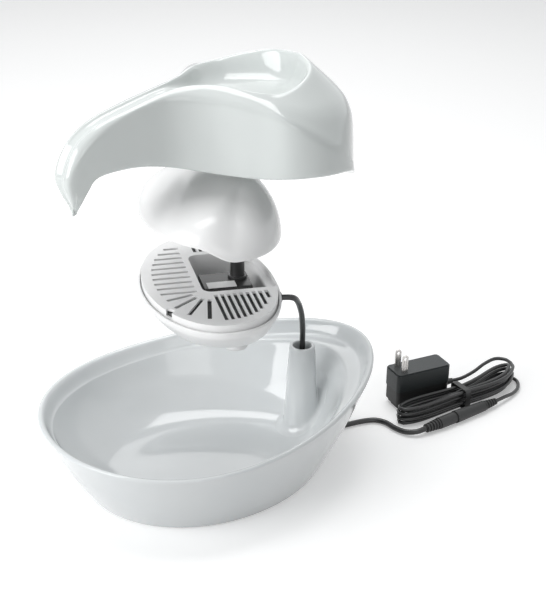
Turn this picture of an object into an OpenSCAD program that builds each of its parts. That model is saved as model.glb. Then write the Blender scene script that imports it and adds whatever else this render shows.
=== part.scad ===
// Pet water fountain: a glazed bowl, a pump tray with a filter grille and a domed cover, a leaf-shaped
// top that pours from its beak, and a low-voltage supply. The lift-off pieces are drawn apart, one above
// the other. Origin: middle of the bowl's foot, on the floor. +X is the rear, where the cord leaves, and
// +Z is up.

/* [Bowl] */
// Half of the bowl's rim length, front to rear
bowl_half_length = 155; // [145:1:165]
// Half of the bowl's rim width
bowl_half_width = 116.7; // [110:0.1:124]
// Mean height of the rim
rim_height = 79; // [74:1:86]
// Rise of the rim towards the rear
rim_rise = 11.5; // [8:0.5:14]
// Wall of the bowl
bowl_wall = 5.5; // [4.5:0.1:6.5]
// Depth of the ledge below the rim
ledge_drop = 13; // [11:0.5:16]
// Width of the ledge at the rear, which carries the top
ledge_rear = 19; // [18:0.5:22]
// Height of the recess under the bowl
foot_recess = 6.5; // [6:0.1:8]
// Width of the foot ring
foot_ring = 8; // [6:0.5:10]
// Thickness of the bowl's floor
floor_thick = 5; // [4:0.5:6]
// Distance of the cord tower behind the middle
tower_x = 92; // [90:0.5:94]
// Height of the cord tower's top
tower_top = 96.5; // [92:0.5:100]
// Diameter of the tower at its top
tower_top_d = 23; // [21:0.5:24]
// Diameter of the tower near the floor
tower_foot_d = 31; // [28:0.5:33]
// Diameter of the bore in the tower
tower_bore_d = 15.6; // [14:0.2:16.4]

/* [Top] */
// How far the top is lifted off its seat
top_lift = 170; // [168:1:174]
// Wall of the top
top_wall = 4.5; // [3.5:0.1:5.5]
// Radius of the basin's rounded edge
basin_round = 5; // [3:0.5:6]
// Radius of the rounded edge between crown and side wall
ridge_round = 6; // [3:0.5:8]
// Diameter of the water hole in the basin
water_hole_d = 15; // [14.5:0.5:18]

/* [Pump tray] */
// How far the pump unit is lifted off the bowl's floor
tray_lift = 112.5; // [108:0.5:112.5]
// Turn of the pump unit about the vertical
tray_yaw = -19; // [-21:1:-17]
// Half of the tray's length
tray_half_length = 57.5; // [56:0.5:60]
// Half of the tray's width
tray_half_width = 90; // [87:1:92]
// Depth of the tray below its rim
tray_depth = 43; // [42:0.5:44]
// Wall of the tray
tray_wall = 2.4; // [2:0.1:3]
// Height of the suction cup under the tray
cup_height = 11; // [9:0.5:12]
// Diameter of the suction cup
cup_d = 20; // [17:0.5:22]

/* [Grille] */
// How far the grille stands above the tray's rim
grille_rise = 5.5; // [5:0.5:8]
// Thickness of the grille's plate
grille_plate = 2.2; // [1.8:0.1:2.6]
// Width of one slot
slot_w = 3.4; // [2.6:0.1:3.8]
// Number of slots at the front
front_slots = 10; // [8:1:10]
// Number of slots along the near side
side_slots = 9; // [7:1:9]
// Number of slots fanned round the corner
fan_slots = 4; // [3:1:4]
// Thickness of the carbon filter
filter_thick = 7.5; // [6:0.5:8]

/* [Pump cover] */
// How far the pump cover is lifted off the grille
cover_lift = 50.5; // [49:0.5:51]
// Height of the cover
cover_height = 40; // [38:1:42]
// Wall of the cover
cover_wall = 2.4; // [2:0.1:3]
// Height of the water gap under the cover's front edge
cover_gap = 11; // [9:0.5:13]

/* [Pump] */
// Length of the pump's housing
pump_length = 40; // [38:1:41]
// Width of the pump's housing
pump_width = 34; // [33:1:35]
// Height of the pump's housing
pump_height = 42; // [40:1:44]
// Diameter of the impeller
impeller_d = 20; // [18:0.5:21]
// Number of impeller blades
impeller_blades = 6; // [5:1:8]
// Diameter of the rotor magnet
magnet_d = 13; // [11:0.5:14]
// Diameter of the impeller's shaft
shaft_d = 2.4; // [2:0.1:2.6]
// Outer diameter of the outlet tube
outlet_d = 12; // [11:0.5:12.5]
// Travel of the flow slider
slider_travel = 8; // [6:0.5:9]

/* [Cord and supply] */
// Diameter of the pump's cord
lead_d = 5; // [4.4:0.1:5.4]
// Diameter of the supply's cord
supply_d = 3.4; // [3:0.1:3.5]
// Number of layers in the hank
hank_layers = 4; // [2:2:4]
// Turns that one layer of the hank spirals
layer_turns = 1.125; // [1.125:0.5:1.625]
// Clear gap between neighbouring turns of the hank
hank_gap = 1.5; // [1.5:0.1:1.8]
// Length of the supply's case
case_length = 57; // [54:1:62]
// Width of the supply's case
case_width = 25; // [23:1:26]
// Height of the supply's case
case_height = 38; // [36:1:40]
// Diameter of the inline connector
connector_d = 11; // [10:0.5:12]

/* [Hidden] */
$fn = 48;

glaze = [0.90, 0.92, 0.92];
white_plastic = [0.95, 0.95, 0.94];
black = [0.06, 0.06, 0.065];
charcoal = [0.16, 0.17, 0.17];
clear_gap = 0.3;
bowl_steps = 64;
foot_half_length = bowl_half_length - 46;
foot_half_width = bowl_half_width - 32.7;
foot_shift = -5;
inner_floor = foot_recess + floor_thick;
fillet_r = 36;
lip_r = bowl_wall / 2;
ledge_front = 1.5;

tray_x = -4;
tray_y = 2;
tray_shift = 0.5;
cup_seat = inner_floor;
tray_rim_seated = cup_seat + cup_height + tray_depth;
tray_rim = tray_rim_seated + tray_lift;
outlet_x = 24;
cup_x = 22;
cup_y = -12;
flat_x = 15;
flat_half_length = 27;
flat_half_width = 26;
pump_x = 16;
pump_y = 3;
tray_wall_h = 7;
shelf_z = -5.5;
shelf_w = 9;
well_front = -8;
well_near = -25;
well_far = 48;
well_round = 8;
well_depth = 20;
plate_inset = tray_wall + 0.8;
cover_base = grille_rise + clear_gap + cover_lift;
seat_z = rim_height + rim_rise + 4.6 - ledge_drop + clear_gap;

// ---- small vector helpers ----
function unit(v) = v / max(norm(v), 0.000001);
function lerp(a, b, u) = a + (b - a) * u;
function bezier(a, b, c, u) = (1 - u) * (1 - u) * a + 2 * u * (1 - u) * b + u * u * c;
function power(x, p) = sign(x) * pow(abs(x), p);
function spline(a, b, c, d, u) =
    0.5 * (2 * b + (c - a) * u + (2 * a - 5 * b + 4 * c - d) * u * u + (3 * b - a - 3 * c + d) * u * u * u);
function along(list, s) =
    let (last = len(list) - 1, k = min(floor(s), last - 1), u = s - k)
    spline(list[max(k - 1, 0)], list[k], list[k + 1], list[min(k + 2, last)], u);

// A closed skin over a stack of rings, from the middle of the first to the middle of the last
module skin(rings, first, last) {
    n = len(rings[0]);
    rows = len(rings);
    points = concat([first], [for (r = rings) for (p = r) p], [last]);
    end = 1 + rows * n;
    faces = concat(
        [for (i = [0:n - 1]) [0, 1 + i, 1 + (i + 1) % n]],
        [for (r = [0:rows - 2]) for (i = [0:n - 1])
            let (a = 1 + r * n + i, b = 1 + r * n + (i + 1) % n) each [[a, a + n, b + n], [a, b + n, b]]],
        [for (i = [0:n - 1]) [end, 1 + (rows - 1) * n + (i + 1) % n, 1 + (rows - 1) * n + i]]
    );
    polyhedron(points, faces, convexity = 8);
}

// ---- bowl ----
function rim_z(t) = rim_height + rim_rise * cos(t) + 4.6 * cos(2 * t);
function rim_plan(t) = [bowl_half_length * cos(t), bowl_half_width * sin(t) * (1 - 0.156 * cos(t))];
function foot_plan(t) =
    [foot_shift + foot_half_length * cos(t), foot_half_width * sin(t) * (1 - 0.08 * cos(t))];
function wall_plan(t, s) = lerp(foot_plan(t), rim_plan(t), s) + 2.5 * sin(180 * s) * [cos(t), sin(t)];
function wall_out(t, s) =
    let (d = unit(wall_plan(t + 0.5, s) - wall_plan(t - 0.5, s))) [d[1], -d[0]];
function bowl_point(t, s, inset, z) =
    let (p = wall_plan(t, s) - inset * wall_out(t, s)) [p[0], p[1], z];
function at_height(t, inset, z) = bowl_point(t, z / rim_z(t), inset, z);
function ledge_w(t) = ledge_front + (ledge_rear - ledge_front) * pow(max(cos(t), 0), 2);
function bowl_rings() = let (
    turns = [for (i = [0:bowl_steps - 1]) i * 360 / bowl_steps],
    start = inner_floor + fillet_r
) [
    [for (t = turns) at_height(t, foot_ring, foot_recess)],
    [for (t = turns) at_height(t, foot_ring, 0)],
    [for (t = turns) at_height(t, 1.5, 0)],
    [for (t = turns) at_height(t, 0, 1.5)],
    for (f = [0.2, 0.4, 0.6, 0.8]) [for (t = turns) at_height(t, 0, f * rim_z(t))],
    for (a = [0, 45, 90, 135, 180])
        [for (t = turns) at_height(t, lip_r * (1 - cos(a)), rim_z(t) - lip_r + lip_r * sin(a))],
    [for (t = turns) at_height(t, bowl_wall, rim_z(t) - ledge_drop + 1)],
    [for (t = turns) at_height(t, bowl_wall + 1, rim_z(t) - ledge_drop)],
    [for (t = turns) at_height(t, bowl_wall + ledge_w(t) - 0.8, rim_z(t) - ledge_drop)],
    [for (t = turns) at_height(t, bowl_wall + ledge_w(t), rim_z(t) - ledge_drop - 1.2)],
    for (a = [0, 30, 55, 75, 90])
        [for (t = turns) at_height(t,
            bowl_wall + lerp(ledge_w(t), 1, sin(a)) + fillet_r * (1 - cos(a)),
            start - fillet_r * sin(a))]
];
module bowl_shell() {
    middle = [foot_shift, 0];
    skin(bowl_rings(), [middle[0], 0, foot_recess], [middle[0], 0, inner_floor]);
}
module tower() {
    translate([tower_x, 0, 0])
        rotate_extrude() polygon([
            [0, foot_recess + 1],
            [tower_foot_d / 2 + 9, foot_recess + 1],
            [tower_foot_d / 2 + 9, inner_floor],
            [tower_foot_d / 2 + 4, inner_floor + 2],
            [tower_foot_d / 2 + 1, inner_floor + 6],
            [tower_foot_d / 2, inner_floor + 12],
            [tower_top_d / 2, tower_top - 1.5],
            [tower_top_d / 2 - 1.5, tower_top],
            [0, tower_top]
        ]);
}
module bowl() {
    color(glaze) difference() {
        union() {
            bowl_shell();
            tower();
        }
        translate([tower_x, 0, 1]) cylinder(h = tower_top, d = tower_bore_d);
        translate([tower_x, 0, foot_recess - 0.01])
            cylinder(h = 8, r1 = tower_bore_d / 2 + 5, r2 = tower_bore_d / 2);
        translate([tower_x, 0, 0]) rotate([0, 0, -8])
            translate([0, -4.5, -1]) cube([60, 9, foot_recess + 1.01]);
    }
}

// ---- top ----
// Each row lists one line of the top's near half, from the beak's tip to the rear:
// how far back, how far from the middle plane, and how high above the seat.
floor_line = [
    [-119.5, 0, 20], [-129, 0, 34], [-131, 0, 48], [-121, 0, 69.5], [-102, 0, 83.5], [-75, 0, 92],
    [-47, 0, 99], [-30, 0, 98], [-15, 0, 91], [5, 0, 85], [26, 0, 83], [44, 0, 83], [57, 0, 84], [64, 0, 86]
];
basin_edge = [
    [-123.5, 0, 18], [-131.5, 5, 33], [-134.5, 6.5, 48], [-124, 6.5, 71.5], [-104, 6.5, 86], [-76, 6.5, 94.8],
    [-47, 6.5, 102.3], [-25, 11, 106], [-8, 22, 106.5], [10, 38, 103], [31, 48.5, 101], [54, 43.5, 105],
    [72, 27, 110], [80, 0, 112.5]
];
crown_line = [
    [-124, 0, 17], [-131, 8, 33], [-133, 10.5, 49.5], [-122.5, 10.5, 70], [-104, 10.5, 84.5], [-76, 10, 94],
    [-46, 11, 101], [-23, 18, 103], [-1, 40, 101.5], [20, 60, 96.5], [48, 71, 89], [82, 63, 84],
    [108, 40, 79], [126, 0, 74]
];
ridge_line = [
    [-123.5, 0, 16], [-129, 10, 32], [-129.5, 13, 50], [-120, 13.5, 67], [-103, 13, 81], [-75, 12, 93],
    [-44, 14, 98.5], [-20, 27, 97.5], [5, 55, 93], [24, 78, 85.5], [54, 84, 66], [84, 70, 47],
    [108, 42, 24], [134, 0, 6]
];
skirt_edge = [
    [-122, 0, 15], [-120.5, 9, 26], [-115, 11, 36], [-108, 12, 45], [-93, 12.5, 48], [-67, 12.5, 47],
    [-39, 16, 41.5], [-13, 34, 37], [6, 56, 37], [25, 78, 40], [53, 84.5, 39.5], [86, 71, 33],
    [108, 43, 17], [134, 0, 0]
];
steps_per_station = 3;
beak_stations = 4;

function inset_to(p, q, t) =
    let (d = [q[0] - p[0], q[1] - p[1], 0]) p + unit(d) * min(t, 0.6 * norm(d));
function cut(p, q, r) = p + unit(q - p) * min(r, 0.45 * norm(q - p));
function arc_points(a, b, c, r, us) = [for (u = us) bezier(cut(b, a, r), b, cut(b, c, r), u)];
function soft_points(a, b, c, us) = [for (u = us) bezier(lerp(b, a, 0.5), b, lerp(b, c, 0.5), u)];
function flat_y(p) = [p[0], 0, p[2]];
function hollow_way(s, e, n) = s < beak_stations ? unit(lerp(flat_y(e) - n, [0, 0, -20], s / beak_stations))
    : [0, 0, -1];
function section(s) = let (
    f0 = along(floor_line, s),
    b = along(basin_edge, s),
    m = along(crown_line, s),
    r = along(ridge_line, s),
    e = along(skirt_edge, s),
    f = [lerp(f0, b, 0.75)[0], lerp(f0, b, 0.75)[1], lerp(f0, b, 0.12)[2]],
    down = hollow_way(s, e, f0),
    e2 = inset_to(e, f0, top_wall),
    r2 = inset_to(r, f0, top_wall) + 0.5 * top_wall * down,
    m2 = lerp(m, f0, 0.12) + 1.1 * top_wall * down,
    f2 = f + 1.1 * top_wall * down
) concat(
    [f0],
    soft_points(f0, f, b, [0.1, 0.5, 0.9]),
    arc_points(f, b, m, basin_round, [0, 0.33, 0.67, 1]),
    soft_points(b, m, r, [0.2, 0.5, 0.8]),
    arc_points(m, r, e, ridge_round, [0, 0.33, 0.67, 1]),
    [lerp(r, e, 0.5), lerp(e, r, 0.03)],
    [lerp(e, e2, 0.2) - [0, 0, 0.3], lerp(e, e2, 0.8) - [0, 0, 0.3]],
    [lerp(e2, r2, 0.03), lerp(e2, r2, 0.5)],
    soft_points(e2, r2, m2, [0.3, 0.7]),
    [m2, f2, f0 + 1.1 * top_wall * down]
);
module leaf() {
    stations = steps_per_station * (len(floor_line) - 1);
    near = [for (i = [0:stations]) [for (p = section(i / steps_per_station)) [p[0], -p[1], p[2]]]];
    rows = len(near[0]);
    cells = [for (k = [0:stations]) for (j = [0:rows - 1]) near[k][j]];
    inside = [for (k = [1:stations - 1]) for (j = [1:rows - 2]) near[k][j]];
    far = [for (p = inside) [p[0], -p[1], p[2]]];
    offset = len(cells);
    function near_id(k, j) = k * rows + j;
    function far_id(k, j) = k == 0 || k == stations || j == 0 || j == rows - 1
        ? near_id(k, j) : offset + (k - 1) * (rows - 2) + j - 1;
    // in a corner where the middle line meets an end, the other diagonal keeps the two halves apart
    function is_corner(k, j) = (k == stations - 1 && j == 0) || (k == 0 && j == rows - 2);
    function pair(a, b, c, d, other) = other ? [[a, b, d], [b, c, d]] : [[a, b, c], [a, c, d]];
    faces = [for (k = [0:stations - 1]) for (j = [0:rows - 2]) each concat(
        pair(near_id(k, j), near_id(k + 1, j), near_id(k + 1, j + 1), near_id(k, j + 1), is_corner(k, j)),
        pair(far_id(k, j), far_id(k, j + 1), far_id(k + 1, j + 1), far_id(k + 1, j), is_corner(k, j))
    )];
    polyhedron(concat(cells, far), faces, convexity = 10);
}
module top_cover() {
    color(glaze) translate([0, 0, seat_z + top_lift]) difference() {
        leaf();
        translate([outlet_x, 0, 60]) cylinder(h = 40, d = water_hole_d);
    }
}

// ---- pump unit: everything in it is drawn in the tray's own frame, level with its rim ----
module in_tray() {
    translate([tray_x, tray_y, tray_rim]) rotate([0, 0, tray_yaw]) children();
}
function to_tray(x, y) = [
    (x - tray_x) * cos(tray_yaw) + (y - tray_y) * sin(tray_yaw),
    -(x - tray_x) * sin(tray_yaw) + (y - tray_y) * cos(tray_yaw)
];
outlet_at = to_tray(outlet_x, 0);
tray_steps = 56;
function oval(t, a, b, inset, rear_n) =
    let (n = cos(t) > 0 ? 2 / rear_n : 1)
    [(a - inset) * power(cos(t), n), (b - inset) * power(sin(t), n)];
function tray_plan(t, inset) = [tray_shift, 0] + oval(t, tray_half_length, tray_half_width, inset, 2.3);
function flat_plan(t, inset) = [flat_x, 0] + oval(t, flat_half_length, flat_half_width, inset, 2.3);
function lift(p, z) = [p[0], p[1], z];
tray_turns = [for (i = [0:tray_steps - 1]) i * 360 / tray_steps];
module pump_tray() {
    rings = [
        [for (t = tray_turns) lift(flat_plan(t, 2), -tray_depth)],
        [for (t = tray_turns) lift(flat_plan(t, 0), -tray_depth + 0.8)],
        [for (t = tray_turns) lift(lerp(flat_plan(t, 0), tray_plan(t, 2.5), 0.6), -tray_depth + 15)],
        [for (t = tray_turns) lift(tray_plan(t, 3.5), -tray_wall_h - 1.5)],
        [for (t = tray_turns) lift(tray_plan(t, 1.2), -tray_wall_h + 1)],
        [for (t = tray_turns) lift(tray_plan(t, 0), -0.8)],
        [for (t = tray_turns) lift(tray_plan(t, 0.8), 0)],
        [for (t = tray_turns) lift(tray_plan(t, tray_wall - 0.8), 0)],
        [for (t = tray_turns) lift(tray_plan(t, tray_wall), -0.8)],
        [for (t = tray_turns) lift(tray_plan(t, tray_wall), shelf_z)],
        [for (t = tray_turns) lift(tray_plan(t, shelf_w), shelf_z)],
        [for (t = tray_turns) lift(lerp(flat_plan(t, 1), tray_plan(t, shelf_w), 0.6),
            -tray_depth + tray_wall + 14)],
        [for (t = tray_turns) lift(flat_plan(t, 1), -tray_depth + tray_wall)]
    ];
    color(white_plastic) in_tray() difference() {
        skin(rings, [flat_x, 0, -tray_depth], [flat_x, 0, -tray_depth + tray_wall]);
        translate([gland_x - 12, gland_y, gland_z]) rotate([0, 90, 0])
            cylinder(h = 30, d = gland_d);
        translate([cup_x, cup_y, -tray_depth - 1]) cylinder(h = tray_wall + 2, d = cup_stem_d);
    }
}
gland_x = tray_shift + tray_half_length;
gland_y = -8;
gland_z = -14;
gland_d = lead_d + 4;
cup_stem_d = 8;
module suction_cup() {
    color([0.88, 0.89, 0.89]) in_tray() translate([cup_x, cup_y, -tray_depth]) difference() {
        rotate_extrude() polygon([
            [0, tray_wall],
            [cup_stem_d / 2, tray_wall],
            [cup_stem_d / 2, 0],
            [cup_d / 2 - 3, 0],
            [cup_d / 2 - 0.8, -cup_height * 0.45],
            [cup_d / 2, -cup_height + 1],
            [cup_d / 2 - 0.6, -cup_height + clear_gap],
            [0, -cup_height + clear_gap]
        ]);
        translate([0, 0, -cup_height - 0.5]) cylinder(h = 3, r1 = cup_d / 2 - 2, r2 = 2);
    }
}
module cord_gland() {
    color(black) in_tray() translate([gland_x, gland_y, gland_z]) rotate([0, 90, 0]) difference() {
        union() {
            translate([0, 0, -5]) cylinder(h = 6, d = gland_d);
            translate([0, 0, 0.6]) cylinder(h = 3, d1 = gland_d + 3, d2 = gland_d);
        }
        translate([0, 0, -6]) cylinder(h = 12, d = lead_d);
    }
}

// ---- grille and filter ----
module plan_2d(inset) {
    polygon([for (t = tray_turns) tray_plan(t, inset)]);
}
module well_2d(grow) {
    x0 = well_front - grow;
    y0 = well_near - grow;
    y1 = well_far + grow;
    r = well_round;
    translate([x0 + r, y0 + r]) circle(r);
    translate([x0 + r, y1 - r]) circle(r);
    translate([x0 + r, y0]) square([120, y1 - y0]);
    translate([x0, y0 + r]) square([120, y1 - y0 - 2 * r]);
}
function front_x(y) =
    tray_shift - (tray_half_length - 12) * sqrt(max(1 - pow(y / (tray_half_width - 12), 2), 0));
function near_y(x) =
    -(tray_half_width - 13) * pow(max(1 - pow(abs(x - tray_shift) / (tray_half_length - 9), 2.3), 0), 1 / 2.3);
module slots_2d() {
    first = 64;
    step = (first + 22) / (front_slots - 1);
    for (i = [0:front_slots - 1]) {
        y = first - step * i;
        translate([front_x(y), y - slot_w / 2]) square([well_front - 5 - front_x(y), slot_w]);
    }
    for (i = [0:fan_slots - 1]) {
        a = 197 + i * 62 / (fan_slots - 1);
        reach = 1 / sqrt(pow(cos(a) / 36, 2) + pow(sin(a) / 49, 2));
        translate([well_front + 5, well_near + 2]) rotate([0, 0, a])
            translate([15, -slot_w / 2]) square([reach - 13, slot_w]);
    }
    for (i = [0:side_slots - 1]) {
        x = 0.5 + i * 42 / (side_slots - 1);
        translate([x - slot_w / 2, near_y(x)]) square([slot_w, well_near - 6 - near_y(x)]);
        translate([x - slot_w / 2, well_far + 6]) square([slot_w, -near_y(x) - well_far - 6]);
    }
}
module filter_grille() {
    skirt = 2;
    lid = [0, 0, grille_rise - grille_plate];
    color(white_plastic) in_tray() difference() {
        union() {
            translate(lid) linear_extrude(grille_plate) difference() {
                plan_2d(plate_inset);
                slots_2d();
            }
            translate([0, 0, shelf_z]) linear_extrude(grille_rise - shelf_z - grille_plate / 2) difference() {
                plan_2d(plate_inset);
                plan_2d(plate_inset + skirt);
            }
            translate([0, 0, -well_depth]) linear_extrude(well_depth + grille_rise - grille_plate / 2) intersection() {
                difference() {
                    well_2d(1.6);
                    well_2d(0);
                }
                plan_2d(plate_inset + 14);
            }
        }
        translate([0, 0, -60]) linear_extrude(80) well_2d(0);
        rotate([0, 0, 232]) translate([tray_half_length + 6, -3.5, grille_rise - 5]) cube([30, 7, 20]);
    }
}
module carbon_filter() {
    color([0.30, 0.31, 0.31]) in_tray() translate([0, 0, shelf_z + clear_gap])
        linear_extrude(filter_thick) difference() {
            plan_2d(plate_inset + 2.6);
            well_2d(2.2);
        }
}

// ---- pump cover ----
cover_apex = [27, -6];
cover_fall = 1.12;
function cover_plan(t, inset) =
    [tray_shift, 0] + oval(t, tray_half_length - 1, tray_half_width - 8, inset, 2.3);
function smoothstep(u) = let (v = min(max(u, 0), 1)) v * v * (3 - 2 * v);
function cover_foot(t) = cover_gap * smoothstep((6 - cover_plan(t, 0)[0]) / 30);
function cover_ring(a, inset) = [for (t = tray_turns)
    let (
        p = lerp(cover_apex, cover_plan(t, inset), pow(cos(a), cover_fall)),
        foot = cover_foot(t) * pow(cos(a), 2),
        z = (cover_height - inset) * sin(a)
    ) lift(p, z + foot)];
module pump_cover() {
    rings = [
        for (a = [80, 69, 57, 45, 33, 22, 12, 4, 0]) cover_ring(a, cover_wall),
        for (a = [0, 4, 12, 22, 33, 45, 57, 69, 80]) cover_ring(a, 0)
    ];
    color(white_plastic) in_tray() translate([0, 0, cover_base]) difference() {
        skin(rings, lift(cover_apex, cover_height - cover_wall), lift(cover_apex, cover_height));
        translate([outlet_at[0], outlet_at[1], cover_height - 20]) cylinder(h = 40, d = outlet_d + 3);
    }
}

// ---- pump ----
pump_floor = -tray_depth + tray_wall;
shaft_z = pump_floor + 20;
chamber_d = impeller_d + 3;
magnet_length = 16;
impeller_length = 8;
pump_front = -pump_length / 2;
cover_thick = 6;
chamber_depth = 10;
rotor_bore_d = magnet_d + 1;
rotor_bore_depth = magnet_length + 4;
rotor_start = pump_front + cover_thick + chamber_depth;
shaft_start = pump_front + cover_thick - 2;
shaft_length = rotor_start + rotor_bore_depth + 2.5 - shaft_start;
o_ring_d = 1.6;
o_ring_r = chamber_d / 2 + 3;
groove_d = o_ring_d + 0.1;
intake_z = shaft_z - 5.5;
slider_z = shaft_z - 11.6;
label_w = 24;
label_h = 11;

module at_pump() {
    in_tray() translate([pump_x, pump_y, 0]) children();
}
module on_shaft(x) {
    translate([x, 0, shaft_z]) rotate([0, 90, 0]) children();
}
module pump_block(x0, length, r) {
    translate([x0, 0, pump_floor]) rotate([90, 0, 90]) linear_extrude(length) {
        translate([-pump_width / 2 + r, 0]) square([pump_width - 2 * r, pump_height]);
        translate([-pump_width / 2, r]) square([pump_width, pump_height - 2 * r]);
        for (s = [-1, 1]) for (z = [r, pump_height - r]) translate([s * (pump_width / 2 - r), z]) circle(r);
    }
}
module pump_body() {
    color(black) at_pump() difference() {
        pump_block(pump_front + cover_thick, pump_length - cover_thick, 4);
        on_shaft(pump_front + cover_thick - 0.01) cylinder(h = chamber_depth, d = chamber_d);
        on_shaft(rotor_start - 0.02) cylinder(h = rotor_bore_depth, d = rotor_bore_d);
        on_shaft(rotor_start + rotor_bore_depth - 1) cylinder(h = 4.5, d = bush_d);
        translate([outlet_at[0] - pump_x, outlet_at[1] - pump_y, pump_floor + pump_height - 8])
            cylinder(h = 20, d = outlet_d);
        translate([pump_front + cover_thick + 5, outlet_at[1] - pump_y, shaft_z])
            cylinder(h = pump_height - 28, d = 6);
        translate([pump_front + cover_thick + 5, outlet_at[1] - pump_y, pump_floor + pump_height - 9])
            rotate([0, 90, 0]) cylinder(h = outlet_at[0] - pump_x - pump_front - cover_thick - 5, d = 6);
        o_ring(groove_d);
    }
}
bush_d = 5;
module pump_front_cover() {
    slot = 2.4;
    color(black) at_pump() difference() {
        pump_block(pump_front, cover_thick, 4);
        on_shaft(pump_front + cover_thick - 2.5) cylinder(h = 5, d = bush_d);
        o_ring(groove_d);
        for (i = [-3:3]) if (i != 0)
            translate([pump_front - 1, i * 4.6 - slot / 2, intake_z]) cube([cover_thick - 2, slot, 14]);
        translate([pump_front - 1, -11, intake_z - 1]) cube([2.2, 22, 16]);
        translate([pump_front + 2, -5, slider_z - 0.4]) cube([10, 10, 5]);
    }
}
module flow_slider() {
    color(charcoal) at_pump() translate([pump_front - 1.5, -7, slider_z]) union() {
        cube([1.2, 14 - slider_travel / 2, 4.2]);
        translate([-1.4, 3, 0.6]) cube([1.6, 3, 3]);
    }
}
module o_ring(d) {
    on_shaft(pump_front + cover_thick) rotate_extrude() translate([o_ring_r, 0]) circle(d = d, $fn = 24);
}
module pump_o_ring() {
    color([0.25, 0.25, 0.25]) at_pump() o_ring(o_ring_d);
}
module impeller() {
    color([0.80, 0.80, 0.78]) at_pump() on_shaft(pump_front + cover_thick + 1.5) difference() {
        union() {
            cylinder(h = 1.4, d = impeller_d);
            cylinder(h = impeller_length, d = 7);
            for (i = [0:impeller_blades - 1]) rotate([0, 0, i * 360 / impeller_blades])
                translate([2.5, -0.7, 0]) cube([impeller_d / 2 - 2.8, 1.4, impeller_length - 1.5]);
        }
        translate([0, 0, -1]) cylinder(h = impeller_length + 2, d = shaft_d);
    }
}
module rotor_magnet() {
    color([0.12, 0.12, 0.13]) at_pump() on_shaft(pump_front + cover_thick + 1.5 + impeller_length)
        difference() {
            cylinder(h = magnet_length, d = magnet_d);
            translate([0, 0, -1]) cylinder(h = magnet_length + 2, d = shaft_d);
        }
}
module impeller_shaft() {
    color([0.92, 0.92, 0.90]) at_pump() on_shaft(shaft_start)
        cylinder(h = shaft_length, d = shaft_d);
}
module bush(x, length) {
    on_shaft(x) difference() {
        cylinder(h = length, d = bush_d);
        translate([0, 0, -1]) cylinder(h = length + 2, d = shaft_d + 0.1);
    }
}
module shaft_bushes() {
    color([0.18, 0.18, 0.18]) at_pump() {
        bush(pump_front + cover_thick - 2.5, 2.5);
        bush(rotor_start + rotor_bore_depth - 1, 4);
    }
}
module outlet_tube() {
    base = pump_floor + pump_height - 8;
    top = seat_z + 83 + 2 - tray_rim_seated;
    color(black) in_tray() translate([outlet_at[0], outlet_at[1], base]) difference() {
        union() {
            cylinder(h = top - base, d = outlet_d);
            translate([0, 0, 8]) cylinder(h = 2.5, d = outlet_d + 4);
        }
        translate([0, 0, -1]) cylinder(h = top - base + 2, d = outlet_d - 3);
    }
}
module pump_label() {
    color([0.93, 0.93, 0.92]) at_pump()
        translate([-label_w / 2 - 5, -pump_width / 2 + 3, pump_floor + pump_height]) cube([label_w, label_h, 0.3]);
}

// ---- cords: the points are the middle of the cord ----
function cross_way(d) = unit(cross(d, abs(d[2]) > 0.9 ? [1, 0, 0] : [0, 0, 1]));
function course(route, i) = unit(route[min(i + 1, len(route) - 1)] - route[max(i - 1, 0)]);
module tube(route, d, sides) {
    frames = [for (i = 0, v = cross_way(course(route, 0)); i < len(route);
        i = i + 1, w = i < len(route) ? course(route, i) : v, v = i < len(route) ? unit(v - (v * w) * w) : v)
        [v, cross(course(route, i), v)]];
    rings = [for (i = [0:len(route) - 1]) [for (k = [0:sides - 1])
        let (a = k * 360 / sides) route[i] + d / 2 * (cos(a) * frames[i][0] + sin(a) * frames[i][1])]];
    skin(rings, route[0], route[len(route) - 1]);
}
function smooth(points, steps) = concat(
    [for (k = [0:len(points) - 2]) for (j = [0:steps - 1]) along(points, k + j / steps)],
    [points[len(points) - 1]]
);
function turned(x, y, z, turn) = [x * cos(turn) - y * sin(turn), x * sin(turn) + y * cos(turn), z];
gland_end = [tray_x, tray_y, tray_rim] + turned(gland_x + 3.6, gland_y, gland_z, tray_yaw);
riser_points = [[62, -28, 162], [72, -21, 152], [82, -12, 135], [89, -4, 116], [92, 0, 104], [92, 0, 92.4]];
tower_points = [[92, 0, 92], [92, 0, 60], [92, 0, 30], [92, 0, 17], [93.6, -0.2, 9], [98.5, -0.9, 4.6],
    [106, -2, 3.2], [124, -4.5, 3.2]];
lead_points = [[124, -4.5, 3.2], [140, -6.5, 3], [155, -8.6, 3], [167, -13, 3], [173, -22, 3], [174.5, -34, 3],
    [178, -45, 3.6], [185.5, -52, 5], [195, -53, 6]];
cable_points = [[pump_x + pump_length / 2, -6, -11], [39, -6, -11.2], [42.5, -7.2, -12.6], [46, -8, -13.8],
    [50, -8, -14], [56, -8, -14], [gland_x + 3.6, -8, -14]];
module pump_cable() {
    color(black) in_tray() tube(smooth(cable_points, 2), lead_d, 8);
}
module riser_cord() {
    color(black) tube(smooth(concat([gland_end], riser_points), 3), lead_d, 8);
}
module lead_in_bowl() {
    color(black) tube(smooth(tower_points, 3), lead_d, 8);
}
module lead_free() {
    color(black) tube(smooth(lead_points, 3), lead_d, 8);
}

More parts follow.
